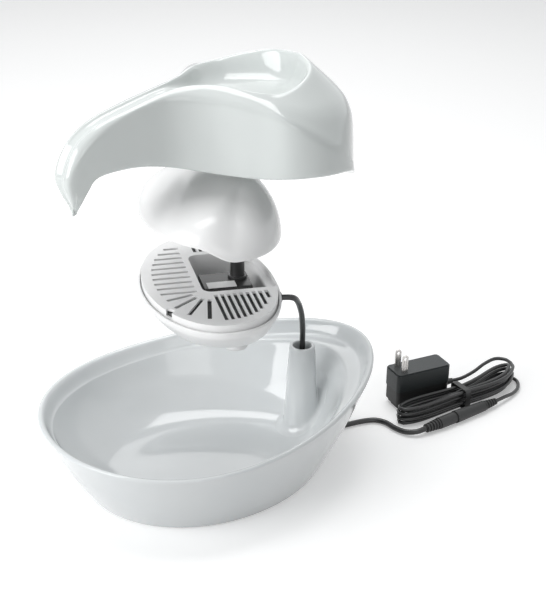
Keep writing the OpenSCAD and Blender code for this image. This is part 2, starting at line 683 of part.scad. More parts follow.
// ---- inline connector, lying on the floor ----
connector_at = [195, -53, 6];
connector_turn = 4;
relief_length = 16;
plug_length = 20;
socket_length = 36;
module on_connector(x) {
    translate(connector_at) rotate([0, 0, connector_turn]) translate([x, 0, 0]) rotate([0, 90, 0]) children();
}
module ribbed_relief(d1, d2, bore, length) {
    difference() {
        union() {
            cylinder(h = length, d1 = d1 - 2, d2 = d2 - 2);
            for (i = [0:4]) translate([0, 0, (i + 0.25) * length / 5])
                cylinder(h = length / 10, d = lerp(d1, d2, (i + 0.5) / 5));
        }
        translate([0, 0, -1]) cylinder(h = length / 2 + 1, d = bore);
    }
}
module plug_relief() {
    color(black) on_connector(0) ribbed_relief(lead_d + 3, connector_d - 0.5, lead_d,
        relief_length);
}
module inline_plug() {
    color(black) on_connector(relief_length) difference() {
        union() {
            cylinder(h = plug_length - 2, d = connector_d);
            translate([0, 0, plug_length - 2]) cylinder(h = 2, d = connector_d - 1);
        }
        translate([0, 0, plug_length - 8]) cylinder(h = 10, d = barrel_d);
    }
}
barrel_d = 5.5;
module plug_barrel() {
    color([0.78, 0.78, 0.76]) on_connector(relief_length + plug_length - 8) difference() {
        cylinder(h = 18, d = barrel_d);
        translate([0, 0, 8]) cylinder(h = 12, d = 2.1);
    }
}
module inline_socket() {
    color(black) on_connector(relief_length + plug_length) difference() {
        union() {
            cylinder(h = 2, d = connector_d + 1);
            translate([0, 0, 2]) cylinder(h = socket_length - 2, d1 = connector_d + 1, d2 = connector_d - 1);
        }
        translate([0, 0, -1]) cylinder(h = 14, d = barrel_d + 0.2);
    }
}
module socket_relief() {
    color(black) on_connector(relief_length + plug_length + socket_length + relief_length)
        rotate([180, 0, 0]) ribbed_relief(supply_d + 2.5, connector_d - 1.5, supply_d, relief_length);
}

// ---- the supply's cord, folded into a hank ----
pitch = supply_d + hank_gap;
hank_x = 256;
hank_y = -27;
hank_half = 68;
hank_base = 0.95;
climb_turns = 0.5;
layer_period = layer_turns + climb_turns;
hank_turns = hank_layers * layer_period - climb_turns;
rings_per_turn = 24;
function hank_layer(u) = min(floor(u / layer_period), hank_layers - 1);
function hank_phase(u) = u - hank_layer(u) * layer_period;
function hank_level(u) =
    let (f = min(hank_phase(u) / layer_turns, 1)) layer_turns * (hank_layer(u) % 2 == 0 ? 1 - f : f);
function hank_climb(u) = hank_layer(u) + max(hank_phase(u) - layer_turns, 0) / climb_turns;
function lobe(c) = 2.4 + (c > 0 ? 11 : 6) * pow(abs(c), 1.5) * (1 - pow(abs(c), 6));
function core(t) = [hank_half * cos(t), sin(t) < 0 ? -lobe(cos(t)) * pow(-sin(t), 0.5)
    : lobe(cos(t)) * pow(sin(t), 0.5)];
function core_out(t) = let (d = unit(core(t + 1) - core(t - 1))) [d[1], -d[0]];
function bend(p) = [hank_x + p[0], hank_y + p[1] + 13 * pow(max(p[0], 0) / hank_half, 2), p[2]];
function hank_point(u) = let (
    t = 360 * u,
    p = core(t) + core_out(t) * pitch * hank_level(u)
) bend([p[0], p[1], hank_base + supply_d / 2 + pitch * hank_climb(u)]);
hank_route = [for (i = [0:hank_turns * rings_per_turn]) hank_point(i / rings_per_turn)];
hank_start = hank_route[0];
hank_end = hank_route[len(hank_route) - 1];
module supply_hank() {
    color(black) tube(hank_route, supply_d, 6);
}
least_gap = min([for (i = [0:len(hank_route) - 1]) for (j = [i + 6:1:len(hank_route) - 1])
    norm(hank_route[i] - hank_route[j])]) - supply_d;
echo(least_gap_of_the_hank = least_gap);

// ---- supply ----
case_at = [226, 1.5, 0];
case_turn = -6;
case_split = 20;
blade_pitch = 12.7;
blade_w = 6.3;
blade_t = 1.5;
blade_h = 17.5;
blade_x = -19;
module at_case() {
    translate(case_at) rotate([0, 0, case_turn]) children();
}
module rounded_2d(l, w, r) {
    translate([-l / 2 + r, -w / 2]) square([l - 2 * r, w]);
    translate([-l / 2, -w / 2 + r]) square([l, w - 2 * r]);
    for (x = [-1, 1]) for (y = [-1, 1]) translate([x * (l / 2 - r), y * (w / 2 - r)]) circle(r);
}
module supply_case_top() {
    color(charcoal) at_case() difference() {
        union() {
            translate([0, 0, case_split]) linear_extrude(case_height - case_split - 1.2)
                rounded_2d(case_length, case_width, 4);
            translate([0, 0, case_height - 1.21]) linear_extrude(1.21)
                rounded_2d(case_length - 2, case_width - 2, 3.2);
        }
        translate([0, 0, case_split - 1]) linear_extrude(case_height - case_split - 2)
            rounded_2d(case_length - 4.4, case_width - 4.4, 2.5);
        for (s = [-1, 1])
            translate([blade_x - blade_w / 2, s * blade_pitch / 2 - blade_t / 2, case_height - 6]) cube([blade_w, blade_t, 10]);
    }
}
module supply_case_bottom() {
    color(black) at_case() difference() {
        union() {
            translate([0, 0, 6]) linear_extrude(case_split - 6)
                rounded_2d(case_length - 1, case_width - 1, 4);
            translate([0, 0, 3]) linear_extrude(3) rounded_2d(case_length - 4, case_width - 4, 4);
            linear_extrude(3) rounded_2d(case_length - 8, case_width - 8, 4);
        }
        translate([0, 0, 5]) linear_extrude(case_split) rounded_2d(case_length - 8, case_width - 8, 2.5);
        translate([case_length / 2 - 6, 0, relief_z]) rotate([0, 90, 0]) cylinder(h = 12, d = relief_d);
    }
}
relief_z = 12;
relief_d = 7;
module supply_relief() {
    color(black) at_case() translate([case_length / 2 - 5, 0, relief_z]) rotate([0, 90, 0]) difference() {
        union() {
            cylinder(h = 6, d = relief_d);
            translate([0, 0, 4.5]) cylinder(h = 1.5, d = relief_d + 2);
            translate([0, 0, 6]) cylinder(h = 10, d1 = relief_d, d2 = supply_d + 1.6);
        }
        translate([0, 0, 5]) cylinder(h = 20, d = supply_d);
    }
}
module plug_blades() {
    color([0.80, 0.78, 0.74]) at_case() for (s = [-1, 1])
        translate([blade_x, s * blade_pitch / 2, case_height - 6]) difference() {
            translate([0, blade_t / 2, 0]) rotate([90, 0, 0]) linear_extrude(blade_t) {
                translate([-blade_w / 2, 0]) square([blade_w, blade_h + 6 - blade_w / 2]);
                translate([0, blade_h + 6 - blade_w / 2]) circle(blade_w / 2);
            }
            translate([0, 5, blade_h + 2.2]) rotate([90, 0, 0]) cylinder(h = 10, d = 3.2);
        }
}

// ---- short stretches of the supply's cord at either end of the hank ----
function at_end(base, turn, x, z) = [base[0] + x * cos(turn), base[1] + x * sin(turn), base[2] + z];
socket_end = at_end(connector_at, connector_turn, 2 * relief_length + plug_length + socket_length, 0);
tail_points = [[296, -44, 5.2], [310, -40, 3.4], [322, -33, 2.7], [329.4, -23, 2.65]];
case_end = at_end(case_at, case_turn, case_length / 2 + 11, relief_z);
case_points = [[276, -4, 12.4], [292, -2, 13.9], [308, 2, 16], [322, 3, 17.2], [329.4, -3.5, 17.4]];
module supply_tail() {
    color(black) tube(smooth(concat([socket_end], tail_points, [hank_start]), 3), supply_d, 8);
}
module case_tail() {
    color(black) tube(smooth(concat([case_end], case_points, [hank_end]), 3), supply_d, 8);
}
module cord_tie() {
    w = 2 * (2.4 + pitch * layer_turns) + supply_d + 2;
    h = pitch * hank_layers + 1;
    color(black) translate([hank_x - 3, hank_y, 0]) rotate([90, 0, 90]) linear_extrude(6) difference() {
        translate([0, h / 2 + 0.05]) rounded_2d(w + 1.6, h, 3);
        translate([0, h / 2 + 0.05]) rounded_2d(w, h - 1.6, 2.4);
    }
}

bowl();
top_cover();
pump_cover();
filter_grille();
carbon_filter();
pump_tray();
suction_cup();
cord_gland();
pump_body();
pump_front_cover();
flow_slider();
pump_o_ring();
impeller();
rotor_magnet();
impeller_shaft();
shaft_bushes();
outlet_tube();
pump_label();
pump_cable();
riser_cord();
lead_in_bowl();
lead_free();
inline_plug();
plug_relief();
inline_socket();
socket_relief();
plug_barrel();
supply_tail();
supply_hank();
cord_tie();
case_tail();
supply_case_top();
supply_case_bottom();
supply_relief();
plug_blades();
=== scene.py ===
"""Looks for the pet water fountain: glazed bowl and top, white pump tray, grille and cover, pump, cords
and plug-in supply. Sizes and plan points of the shapes are in millimetres; the camera, the lights, the floor
and the cord points that say so are in metres. +X is the rear, +Z is up."""
import math

import bmesh
import bpy
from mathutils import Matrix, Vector
from mathutils.bvhtree import BVHTree


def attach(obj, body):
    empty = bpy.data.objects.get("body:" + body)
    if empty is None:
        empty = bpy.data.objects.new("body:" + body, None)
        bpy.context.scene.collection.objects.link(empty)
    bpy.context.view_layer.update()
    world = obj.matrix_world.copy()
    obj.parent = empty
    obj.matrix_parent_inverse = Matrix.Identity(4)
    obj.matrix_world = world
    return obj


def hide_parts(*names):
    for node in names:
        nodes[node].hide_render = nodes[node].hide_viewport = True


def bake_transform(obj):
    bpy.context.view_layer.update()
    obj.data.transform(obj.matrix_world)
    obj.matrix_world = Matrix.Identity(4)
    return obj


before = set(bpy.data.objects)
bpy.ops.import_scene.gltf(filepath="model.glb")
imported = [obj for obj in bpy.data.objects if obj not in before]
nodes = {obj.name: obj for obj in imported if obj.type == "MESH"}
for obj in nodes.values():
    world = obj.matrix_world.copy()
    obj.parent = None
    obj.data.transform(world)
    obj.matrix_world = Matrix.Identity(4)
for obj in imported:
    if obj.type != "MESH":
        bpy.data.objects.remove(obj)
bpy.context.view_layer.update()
MM = 0.001


# ---- camera ----
VIEW_TURN, VIEW_RISE = math.radians(-30.7), math.radians(28.0)
VIEW_DISTANCE = 1.3
FOCAL_PX, FRAME_PX = 1532.9, (546, 600)
AXIS_PX = (212.6, 346.1)
SENSOR_MM = 36.0
backwards = Vector((math.sin(VIEW_TURN) * math.cos(VIEW_RISE), -math.cos(VIEW_TURN) * math.cos(VIEW_RISE),
                    math.sin(VIEW_RISE)))
camera_data = bpy.data.cameras.new("camera")
camera_data.sensor_width = SENSOR_MM
camera_data.lens = FOCAL_PX * SENSOR_MM / FRAME_PX[1]
camera_data.shift_x = (FRAME_PX[0] / 2 - AXIS_PX[0]) / FRAME_PX[1]
camera_data.shift_y = (AXIS_PX[1] - FRAME_PX[1] / 2) / FRAME_PX[1]
camera_data.clip_start, camera_data.clip_end = 0.05, 20
camera = bpy.data.objects.new("camera", camera_data)
camera.location = Vector((0, 0, 0.12)) + VIEW_DISTANCE * backwards
camera.rotation_euler = backwards.to_track_quat("Z", "Y").to_euler()
bpy.context.scene.collection.objects.link(camera)
bpy.context.scene.camera = camera
bpy.context.scene.view_settings.view_transform = "Standard"


# ---- small helpers for shapes; plan points and heights are worked out in millimetres ----
def lerp(a, b, u):
    return a + (b - a) * u


def bezier(a, b, c, u):
    return a * (1 - u) ** 2 + b * (2 * u * (1 - u)) + c * u * u


def spline(a, b, c, d, u):
    return 0.5 * (2 * b + (c - a) * u + (2 * a - 5 * b + 4 * c - d) * u ** 2
                  + (3 * b - a - 3 * c + d) * u ** 3)


def along(points, s):
    last = len(points) - 1
    k = min(int(math.floor(s)), last - 1)
    return spline(points[max(k - 1, 0)], points[k], points[k + 1], points[min(k + 2, last)], s - k)


def smooth_route(points, steps):
    spots = [Vector(p) for p in points]
    count = (len(spots) - 1) * steps
    return [along(spots, i / steps) for i in range(count + 1)]


def turns(count):
    return [i * 360 / count for i in range(count)]


def cosd(a):
    return math.cos(math.radians(a))


def sind(a):
    return math.sin(math.radians(a))


def power(x, p):
    return math.copysign(abs(x) ** p, x)


def finish_piece(name, bm, body, material, cad=(), smooth=True):
    """Writes a bmesh as a piece that rides on a body and stands for CAD nodes."""
    mesh = bpy.data.meshes.new(name)
    bm.to_mesh(mesh)
    bm.free()
    mesh.polygons.foreach_set("use_smooth", [smooth] * len(mesh.polygons))
    piece = bpy.data.objects.new(name, mesh)
    bpy.context.scene.collection.objects.link(piece)
    piece.data.materials.append(material)
    if body:
        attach(piece, body)
    if cad:
        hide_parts(*cad)
    return piece


def subdivide(piece, levels):
    modifier = piece.modifiers.new("subdivision", "SUBSURF")
    modifier.levels = levels
    modifier.render_levels = levels


def add_ring(bm, points, closed=True):
    verts = [bm.verts.new(Vector(p) * MM) for p in points]
    count = len(verts) if closed else len(verts) - 1
    return verts, [bm.edges.new((verts[i], verts[(i + 1) % len(verts)])) for i in range(count)]


def close_end(points, middle):
    """Rings that shrink from a ring of points to a pole."""
    shares = (0.6, 0.25)
    return [[lerp(middle, Vector(p), share) for p in points] for share in shares]


def draw_out(bm, verts, edges, points):
    """Extrudes a ring or a line of edges and puts the copy at the next points."""
    made = set(bmesh.ops.extrude_edge_only(bm, edges=edges)["geom"])
    copies = [next(e.other_vert(v) for e in v.link_edges if e.other_vert(v) in made) for v in verts]
    for v, p in zip(copies, points):
        v.co = Vector(p) * MM
    follow = copies[1:] + copies[:1]
    return copies, [bm.edges.get((copies[i], follow[i])) for i in range(len(edges))]


def stack_up(rings, closed=True):
    """A skin over a stack of rings or lines, open at its ends; also its first and last points."""
    bm = bmesh.new()
    start, edges = add_ring(bm, rings[0], closed)
    verts = start
    for ring in rings[1:]:
        verts, edges = draw_out(bm, verts, edges, ring)
    return bm, start, verts


def loft(rings, start_middle, end_middle):
    """A closed skin over a stack of rings, with a pole at either end."""
    first, last = Vector(start_middle), Vector(end_middle)
    stack = close_end(rings[0], first)[::-1] + rings + close_end(rings[-1], last)
    bm, *ends = stack_up(stack)
    for verts in ends:
        cap = bmesh.ops.contextual_create(bm, geom=verts)["faces"]
        bmesh.ops.poke(bm, faces=cap)
    bmesh.ops.recalc_face_normals(bm, faces=bm.faces)
    return bm


def bake_modifiers(piece):
    """Applies the modifiers of a piece, so that its mesh is final."""
    graph = bpy.context.evaluated_depsgraph_get()
    mesh = bpy.data.meshes.new_from_object(piece.evaluated_get(graph))
    piece.modifiers.clear()
    piece.data = mesh


def carve(piece, *cutters):
    """Cuts each cutter's bmesh out of a piece."""
    for bm in cutters:
        mesh = bpy.data.meshes.new("cutter")
        bm.to_mesh(mesh)
        bm.free()
        tool = bpy.data.objects.new("cutter", mesh)
        bpy.context.scene.collection.objects.link(tool)
        modifier = piece.modifiers.new("cut", "BOOLEAN")
        modifier.operation = "DIFFERENCE"
        modifier.solver = "EXACT"
        modifier.object = tool
        bpy.context.view_layer.update()
        bake_modifiers(piece)
        bpy.data.objects.remove(tool)


def rod(radius_mm, start, end, segments=48):
    """A plain round cutter from start to end, in millimetres."""
    start, end = Vector(start) * MM, Vector(end) * MM
    bm = bmesh.new()
    bmesh.ops.create_cone(bm, cap_ends=True, segments=segments, radius1=radius_mm * MM,
                          radius2=radius_mm * MM, depth=(end - start).length)
    bmesh.ops.rotate(bm, verts=bm.verts, matrix=(end - start).to_track_quat("Z", "Y").to_matrix())
    bmesh.ops.translate(bm, verts=bm.verts, vec=(start + end) / 2)
    return bm


# ---- materials ----
class Value:
    """A shader value that takes Python arithmetic."""

    def __init__(self, finish, socket):
        self.finish, self.socket = finish, socket

    def math(self, operation, a, b):
        return self.finish.node("ShaderNodeMath", {"operation": operation}, {0: a, 1: b})

    def __add__(self, other):
        return self.math("ADD", self, other)

    def __mul__(self, other):
        return self.math("MULTIPLY", self, other)

    __radd__ = __add__
    __rmul__ = __mul__


class Finish:
    """One node-based material."""

    def __init__(self, name, rough, **sockets):
        self.material = bpy.data.materials.new(name)
        self.material.use_nodes = True
        self.tree = self.material.node_tree
        self.shader = self.tree.nodes["Principled BSDF"]
        self.place = self.node("ShaderNodeTexCoord", {}, {}, "Object")
        self.set(Roughness=rough, **{key.replace("_", " "): value for key, value in sockets.items()})

    def node(self, kind, settings, inputs, output=0):
        made = self.tree.nodes.new(kind)
        for key, value in settings.items():
            if key == "stops":
                ramp = made.color_ramp
                while len(ramp.elements) < len(value):
                    ramp.elements.new(1)
                for element, (at, colour) in zip(ramp.elements, value):
                    element.position, element.color = at, (*colour, 1)
            else:
                setattr(made, key, value)
        for key, value in inputs.items():
            if isinstance(value, Value):
                self.tree.links.new(value.socket, made.inputs[key])
            else:
                made.inputs[key].default_value = value
        return Value(self, made.outputs[output])

    def set(self, **sockets):
        for key, value in sockets.items():
            if isinstance(value, Value):
                self.tree.links.new(value.socket, self.shader.inputs[key])
            else:
                self.shader.inputs[key].default_value = value

    def noise(self, scale, detail=2.0, roughness=0.5, stretch=None):
        place = self.place
        if stretch:
            place = self.node("ShaderNodeMapping", {}, {"Vector": place, "Scale": stretch})
        return self.node("ShaderNodeTexNoise", {}, {"Vector": place, "Scale": scale, "Detail": detail,
                                                    "Roughness": roughness}, "Fac")

    def tint(self, factor, low, high, start=0.3, end=0.7):
        ramp = self.node("ShaderNodeValToRGB", {"stops": [(start, low), (end, high)]}, {"Fac": factor})
        self.tree.links.new(ramp.socket, self.shader.inputs["Base Color"])

    def bump(self, height, depth, strength=1.0):
        made = self.node("ShaderNodeBump", {}, {"Height": height, "Distance": depth, "Strength": strength},
                         "Normal")
        self.tree.links.new(made.socket, self.shader.inputs["Normal"])


def glaze(name, low, high):
    """Glossy glaze: slow ripples in the surface, faint pooling of the colour, a few pinholes."""
    made = Finish(name, 0.1, Coat_Weight=0.4, Coat_Roughness=0.03)
    ripples = made.noise(26, 2.0)
    pooling = made.noise(9, 3.0)
    specks = made.node("ShaderNodeTexVoronoi", {}, {"Vector": made.place, "Scale": 210.0}, "Distance")
    pinholes = made.node("ShaderNodeMapRange", {"clamp": True},
                         {"Value": specks, "From Min": 0.0, "From Max": 0.06, "To Min": 0.0, "To Max": 1.0})
    made.tint(pooling, low, high)
    made.set(Roughness=0.07 + 0.07 * pooling)
    made.bump(ripples * 0.93 + pinholes * 0.07, 0.0006, 0.35)
    return made.material


def moulded(name, low, high, rough, grain, depth, sheen=0.0):
    """Moulded plastic: fine grain and a slight unevenness of gloss."""
    made = Finish(name, rough, Coat_Weight=sheen, Coat_Roughness=0.15)
    broad, fine = made.noise(14, 3.0), made.noise(grain, 3.0, 0.6)
    made.tint(broad, low, high)
    made.set(Roughness=rough - 0.05 + 0.1 * fine)
    made.bump(fine * 0.8 + made.noise(70, 2.0) * 0.2, depth, 0.6)
    return made.material


def metal(name, low, high, stretch):
    """Plated sheet metal with the fine lines of its rolling."""
    made = Finish(name, 0.28, Metallic=1.0)
    lines = made.noise(400, 4.0, 0.6, stretch)
    made.tint(lines, low, high)
    made.set(Roughness=0.16 + 0.2 * lines)
    made.bump(lines, 0.00004, 0.5)
    return made.material


def fibre(name, low, high):
    """Charcoal fibre pad."""
    made = Finish(name, 0.95)
    hairs = made.noise(900, 6.0, 0.75, (1, 1, 2.5))
    made.tint(hairs + made.noise(120, 3.0) * 0.3, low, high)
    made.bump(hairs, 0.0006)
    return made.material


def grey(level, warm=0.0):
    return (level * (1 + warm), level, level * (1 - warm))


bowl_glaze = glaze("bowl_glaze", (0.64, 0.665, 0.675), (0.68, 0.70, 0.705))
top_glaze = glaze("top_glaze", (0.62, 0.655, 0.645), (0.66, 0.69, 0.68))
cover_white = moulded("cover_white", grey(0.80), grey(0.83), 0.24, 700, 0.00006, 0.35)
tray_white = moulded("tray_white", grey(0.80), grey(0.83), 0.36, 900, 0.0001)
grille_white = moulded("grille_white", grey(0.80), grey(0.83), 0.38, 900, 0.0001)
cup_rubber = moulded("cup_rubber", grey(0.76), grey(0.8), 0.42, 500, 0.00008)
pump_black = moulded("pump_black", grey(0.016), grey(0.026), 0.36, 1100, 0.00014)
slider_grey = moulded("slider_grey", grey(0.07), grey(0.09), 0.4, 1100, 0.0001)
tube_black = moulded("tube_black", grey(0.02), grey(0.03), 0.34, 1000, 0.0001)
gland_rubber = moulded("gland_rubber", grey(0.015), grey(0.022), 0.6, 800, 0.00016)
cord_black = moulded("cord_black", grey(0.010), grey(0.018), 0.3, 500, 0.00016, 0.2)
connector_black = moulded("connector_black", grey(0.018), grey(0.03), 0.42, 1000, 0.00018)
case_charcoal = moulded("case_charcoal", (0.014, 0.018, 0.019), (0.019, 0.023, 0.024), 0.4, 1500, 0.00016)
case_black = moulded("case_black", grey(0.008), grey(0.012), 0.44, 1500, 0.00016)
rotor_white = moulded("rotor_white", grey(0.7), grey(0.76), 0.35, 700, 0.0001)
magnet_dark = moulded("magnet_dark", grey(0.05), grey(0.08), 0.5, 2200, 0.0002)
shaft_white = moulded("shaft_white", grey(0.8), grey(0.86), 0.12, 2000, 0.00003)
label_white = moulded("label_white", grey(0.74), grey(0.78), 0.5, 1800, 0.00003)
nickel = metal("nickel", grey(0.56, 0.03), grey(0.72, 0.03), (1, 1, 0.05))
filter_fibre = fibre("filter_fibre", grey(0.03), grey(0.12))


# ---- sizes shared with the solids, in millimetres ----
BOWL_LENGTH, BOWL_WIDTH, RIM_HEIGHT, RIM_RISE = 155, 116.7, 79, 11.5
BOWL_WALL, LEDGE_DROP, LEDGE_FRONT, LEDGE_REAR = 5.5, 13, 1.5, 19
FOOT_RECESS, FOOT_RING, FLOOR, FILLET, LIP = 6.5, 8, 11.5, 36, 2.75
FOOT_LENGTH, FOOT_WIDTH, FOOT_SHIFT = BOWL_LENGTH - 46, BOWL_WIDTH - 32.7, -5
TOWER_X, TOWER_TOP, TOWER_TOP_R, TOWER_FOOT_R, TOWER_BORE_R = 92, 96.5, 11.5, 15.5, 7.8
TOP_LIFT, TOP_WALL, BASIN_ROUND, RIDGE_ROUND, WATER_HOLE_R = 170, 4.5, 5, 6, 7.5
SEAT = RIM_HEIGHT + RIM_RISE + 4.6 - LEDGE_DROP + 0.3
TRAY_AT, TRAY_TURN = Vector((-4, 2, 178)), -19
TRAY_LENGTH, TRAY_WIDTH, TRAY_SHIFT, TRAY_DEPTH, TRAY_WALL = 57.5, 90, 0.5, 43, 2.4
FLAT_X, FLAT_LENGTH, FLAT_WIDTH = 15, 27, 26
TRAY_WALL_H, SHELF_Z, SHELF_W = 7, -5.5, 9
COVER_BASE, COVER_HEIGHT, COVER_WALL, COVER_GAP = 56.3, 40, 2.4, 11
COVER_APEX, COVER_FALL = Vector((27, -6, 0)), 1.12
OUTLET = (24, 0)
LEAD_R, SUPPLY_R = 2.5, 1.7


# ---- bowl ----
BOWL_STEPS = 112


def rim_z(t):
    return RIM_HEIGHT + RIM_RISE * cosd(t) + 4.6 * cosd(2 * t)


def wall_plan(t, s):
    foot = Vector((FOOT_SHIFT + FOOT_LENGTH * cosd(t), FOOT_WIDTH * sind(t) * (1 - 0.08 * cosd(t))))
    rim = Vector((BOWL_LENGTH * cosd(t), BOWL_WIDTH * sind(t) * (1 - 0.156 * cosd(t))))
    return lerp(foot, rim, s) + 2.5 * sind(180 * s) * Vector((cosd(t), sind(t)))


def bowl_point(t, inset, z):
    s = z / rim_z(t)
    across = (wall_plan(t + 0.5, s) - wall_plan(t - 0.5, s)).normalized()
    p = wall_plan(t, s) - inset * Vector((across.y, -across.x))
    return (p.x, p.y, z)


def bowl_ring(inset, height):
    return [bowl_point(t, inset(t) if callable(inset) else inset, height(t) if callable(height) else height)
            for t in turns(BOWL_STEPS)]


def ledge(t):
    return LEDGE_FRONT + (LEDGE_REAR - LEDGE_FRONT) * max(cosd(t), 0) ** 2


def bowl_rings():
    start = FLOOR + FILLET
    rings = [bowl_ring(FOOT_RING + 1.2, FOOT_RECESS), bowl_ring(FOOT_RING, FOOT_RECESS - 1),
             bowl_ring(FOOT_RING, 0.6), bowl_ring(FOOT_RING - 0.6, 0), bowl_ring(2.0, 0), bowl_ring(0.5, 0.6),
             bowl_ring(0, 2)]
    for share in (0.12, 0.27, 0.42, 0.57, 0.72, 0.86, 0.94):
        rings.append(bowl_ring(0, lambda t, f=share: f * rim_z(t)))
    for a in (0, 30, 60, 90, 120, 150, 180):
        rings.append(bowl_ring(LIP * (1 - cosd(a)), lambda t, a=a: rim_z(t) - LIP + LIP * sind(a)))
    rings.append(bowl_ring(BOWL_WALL, lambda t: rim_z(t) - 0.65 * LEDGE_DROP))
    rings.append(bowl_ring(BOWL_WALL + 0.3, lambda t: rim_z(t) - LEDGE_DROP + 1.2))
    rings.append(bowl_ring(BOWL_WALL + 1.2, lambda t: rim_z(t) - LEDGE_DROP + 0.1))
    rings.append(bowl_ring(lambda t: BOWL_WALL + max(0.55 * ledge(t), 1.3), lambda t: rim_z(t) - LEDGE_DROP))
    rings.append(bowl_ring(lambda t: BOWL_WALL + max(ledge(t) - 1.6, 1.4),
                           lambda t: rim_z(t) - LEDGE_DROP - 0.1))
    rings.append(bowl_ring(lambda t: BOWL_WALL + max(ledge(t) - 0.3, 1.5),
                           lambda t: rim_z(t) - LEDGE_DROP - 1.3))
    rings.append(bowl_ring(lambda t: BOWL_WALL + ledge(t),
                           lambda t: lerp(rim_z(t) - LEDGE_DROP, start, 0.35)))
    for a in (0, 15, 30, 45, 60, 75, 90):
        rings.append(bowl_ring(lambda t, a=a: BOWL_WALL + lerp(ledge(t), 1, sind(a)) + FILLET * (1 - cosd(a)),
                               start - FILLET * sind(a)))
    return rings


bowl_bm = loft(bowl_rings(), (FOOT_SHIFT, 0, FOOT_RECESS), (FOOT_SHIFT, 0, FLOOR))
bowl_surface = BVHTree.FromBMesh(bowl_bm)
bowl = finish_piece("bowl_shell", bowl_bm, "bowl", bowl_glaze, ["bowl"])
subdivide(bowl, 1)
CHANNEL_R, CHANNEL_Z, CHANNEL_REACH = 4.4, 3.6, 60
channel_turn = math.radians(-8)
channel = rod(CHANNEL_R, (TOWER_X, 0, CHANNEL_Z),
              (TOWER_X + CHANNEL_REACH * math.cos(channel_turn), CHANNEL_REACH * math.sin(channel_turn),
               CHANNEL_Z))
bowl_bore = rod(TOWER_BORE_R + 2, (TOWER_X, 0, 1), (TOWER_X, 0, 30))
carve(bowl, channel, bowl_bore)


def tower_rings():
    """From the bore's foot up to the lip, down the outside, and out over a fillet on the bowl's floor."""
    steps, fillet, clear = 72, 10, 0.15
    rings = [[(TOWER_BORE_R, z)] * steps for z in (9, 40, 70, TOWER_TOP - 1.6)]
    rings += [[(TOWER_BORE_R + 0.5, TOWER_TOP - 0.4)] * steps, [(TOWER_BORE_R + 1.2, TOWER_TOP)] * steps,
              [(TOWER_TOP_R - 1.6, TOWER_TOP)] * steps, [(TOWER_TOP_R - 0.5, TOWER_TOP - 0.5)] * steps,
              [(TOWER_TOP_R, TOWER_TOP - 1.7)] * steps]
    for z in (80, 64):
        rings.append([(lerp(TOWER_FOOT_R, TOWER_TOP_R, (z - 23) / (TOWER_TOP - 24)), z)] * steps)
    low = []
    for u in (0, 0.08, 0.2, 0.35, 0.55, 0.78, 1):
        ring = []
        for a in turns(steps):
            r = TOWER_FOOT_R - 1 + fillet * u
            at = Vector((TOWER_X + r * cosd(a), r * sind(a), 90)) * MM
            hit = bowl_surface.ray_cast(at, Vector((0, 0, -1)))[0]
            ring.append((r, hit.z / MM + fillet * (1 - math.sqrt(1 - (1 - u) ** 2)) - clear))
        low.append(ring)
    return [[(TOWER_X + r * cosd(a), r * sind(a), z) for (r, z), a in zip(ring, turns(steps))]
            for ring in rings + low]


tower_stack = tower_rings()
buried = [(x, y, z - 3) for x, y, z in tower_stack[-1]]
inner_foot = [(TOWER_X + 9 * cosd(a), 9 * sind(a), 9) for a in turns(72)]
tower_stack += [buried, inner_foot, tower_stack[0]]
tower_bm = stack_up(tower_stack)[0]
bmesh.ops.remove_doubles(tower_bm, verts=tower_bm.verts, dist=1e-6)
bmesh.ops.recalc_face_normals(tower_bm, faces=tower_bm.faces)
tower = finish_piece("cord_tower", tower_bm, "bowl", bowl_glaze, ["bowl"])
subdivide(tower, 1)


# ---- top: each row is one line of its near half, from the beak's tip to the rear ----
FLOOR_LINE = [
    (-119.5, 0, 20), (-129, 0, 34), (-131, 0, 48), (-121, 0, 69.5), (-102, 0, 83.5), (-75, 0, 92),
    (-47, 0, 99), (-30, 0, 98), (-15, 0, 91), (5, 0, 85), (26, 0, 83), (44, 0, 83), (57, 0, 84), (64, 0, 86)]
BASIN_EDGE = [
    (-123.5, 0, 18), (-131.5, 5, 33), (-134.5, 6.5, 48), (-124, 6.5, 71.5), (-104, 6.5, 86), (-76, 6.5, 94.8),
    (-47, 6.5, 102.3), (-25, 11, 106), (-8, 22, 106.5), (10, 38, 103), (31, 48.5, 101), (54, 43.5, 105),
    (72, 27, 110), (80, 0, 112.5)]
CROWN_LINE = [
    (-124, 0, 17), (-131, 8, 33), (-133, 10.5, 49.5), (-122.5, 10.5, 70), (-104, 10.5, 84.5), (-76, 10, 94),
    (-46, 11, 101), (-23, 18, 103), (-1, 40, 101.5), (20, 60, 96.5), (48, 71, 89), (82, 63, 84),
    (108, 40, 79), (126, 0, 74)]
RIDGE_LINE = [
    (-123.5, 0, 16), (-129, 10, 32), (-129.5, 13, 50), (-120, 13.5, 67), (-103, 13, 81), (-75, 12, 93),
    (-44, 14, 98.5), (-20, 27, 97.5), (5, 55, 93), (24, 78, 85.5), (54, 84, 66), (84, 70, 47),
    (108, 42, 24), (134, 0, 6)]
SKIRT_EDGE = [
    (-122, 0, 15), (-120.5, 9, 26), (-115, 11, 36), (-108, 12, 45), (-93, 12.5, 48), (-67, 12.5, 47),
    (-39, 16, 41.5), (-13, 34, 37), (6, 56, 37), (25, 78, 40), (53, 84.5, 39.5), (86, 71, 33),
    (108, 43, 17), (134, 0, 0)]
TOP_ROWS = [[Vector(p) for p in row] for row in (FLOOR_LINE, BASIN_EDGE, CROWN_LINE, RIDGE_LINE, SKIRT_EDGE)]
BEAK_STATIONS, TOP_SLICES = 4, 6


def cut_back(p, q, r):
    return p + (q - p).normalized() * min(r, 0.45 * (q - p).length)


def rounded(a, b, c, r, shares):
    return [bezier(cut_back(b, a, r), b, cut_back(b, c, r), u) for u in shares]


